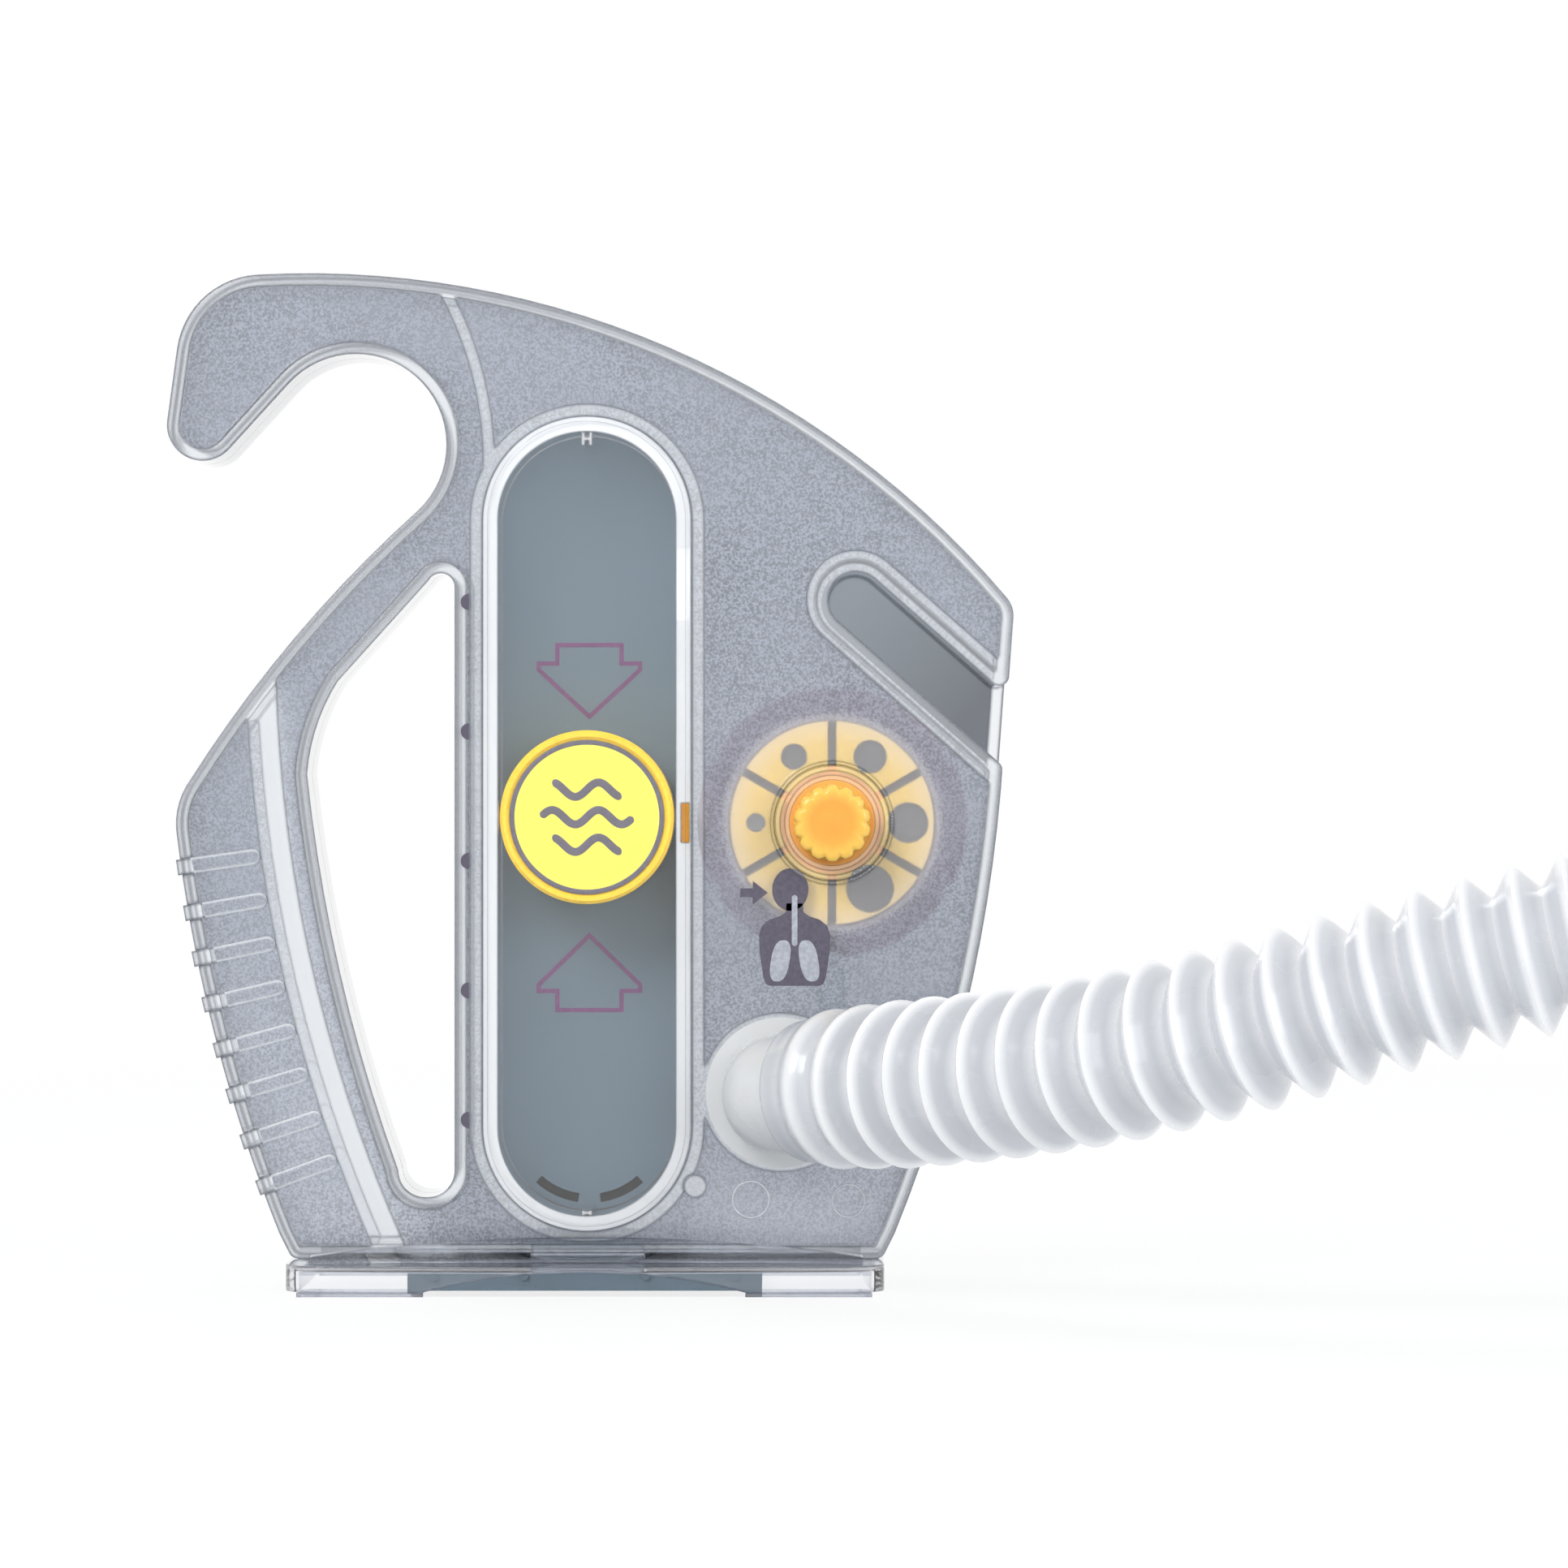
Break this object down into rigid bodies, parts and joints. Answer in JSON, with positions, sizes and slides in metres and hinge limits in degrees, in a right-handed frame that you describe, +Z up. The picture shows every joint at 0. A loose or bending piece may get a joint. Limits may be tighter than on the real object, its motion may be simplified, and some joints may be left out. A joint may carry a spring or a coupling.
{
  "type": "incentive spirometer",
  "caption": "Hand-held breathing exerciser with a bed-rail hook, a float that rises in a clear column, a flow dial, and a corrugated hose with mouthpiece.",
  "frame": {"origin": "middle of the footprint of the housing and its base, on the surface that the foot pads stand on; the float column's axis is at X = 0", "axes": "+X to the right seen from the front, +Y to the back, +Z up along the float column"},
  "size_m": [0.5157, 0.1388, 0.1627],
  "materials": {
    "frosted_clear": "clear polystyrene with frosted faces and polished beads",
    "clear": "polished clear polystyrene",
    "card_blue_grey": "printed card",
    "float_orange": "moulded, glossy",
    "float_yellow": "moulded, glossy",
    "dial_grey": "moulded",
    "dial_pads": "moulded",
    "knob_orange": "translucent, glossy",
    "seal_rubber": "soft",
    "pad_clear": "soft clear pads",
    "hose_white": "translucent, thin-walled",
    "mouthpiece_white": "moulded, semi-gloss"
  },
  "bodies": {
    "housing": {"back_shell": "frosted_clear", "front_shell": "frosted_clear", "float_column": "clear", "column_window": "clear", "label_card": "card_blue_grey", "upper_float_stop": "clear", "lower_float_stop": "clear", "dial_collar": "clear", "dial_axle": "clear", "dial_seal": "seal_rubber", "bypass_tube": "clear", "detent_arm": "clear", "dial_pointer": "knob_orange", "hose_spigot": "hose_white", "spigot_gasket": "seal_rubber", "base_skirt": "clear", "base_insert": "card_blue_grey", "foot_pads": "pad_clear", "seam_snaps": "clear", "hose_cuff": "hose_white", "hose": "hose_white", "mouthpiece_cuff": "hose_white", "mouthpiece": "mouthpiece_white"},
    "float": {"float_cup": "float_orange", "float_face": "float_yellow"},
    "dial": {"dial_disc": "dial_grey", "dial_sectors": "dial_pads", "dial_knob": "knob_orange"}
  },
  "joints": [
    {"name": "float_rise", "type": "slide", "parent": "housing", "child": "float", "axis": [0, 0, 1], "range_m": [-0.0482, 0.0449]},
    {"name": "dial_turn", "type": "hinge", "parent": "housing", "child": "dial", "pos_m": [0.0392, 0, 0.0747], "axis": [0, 1, 0], "continuous": true}
  ]
}
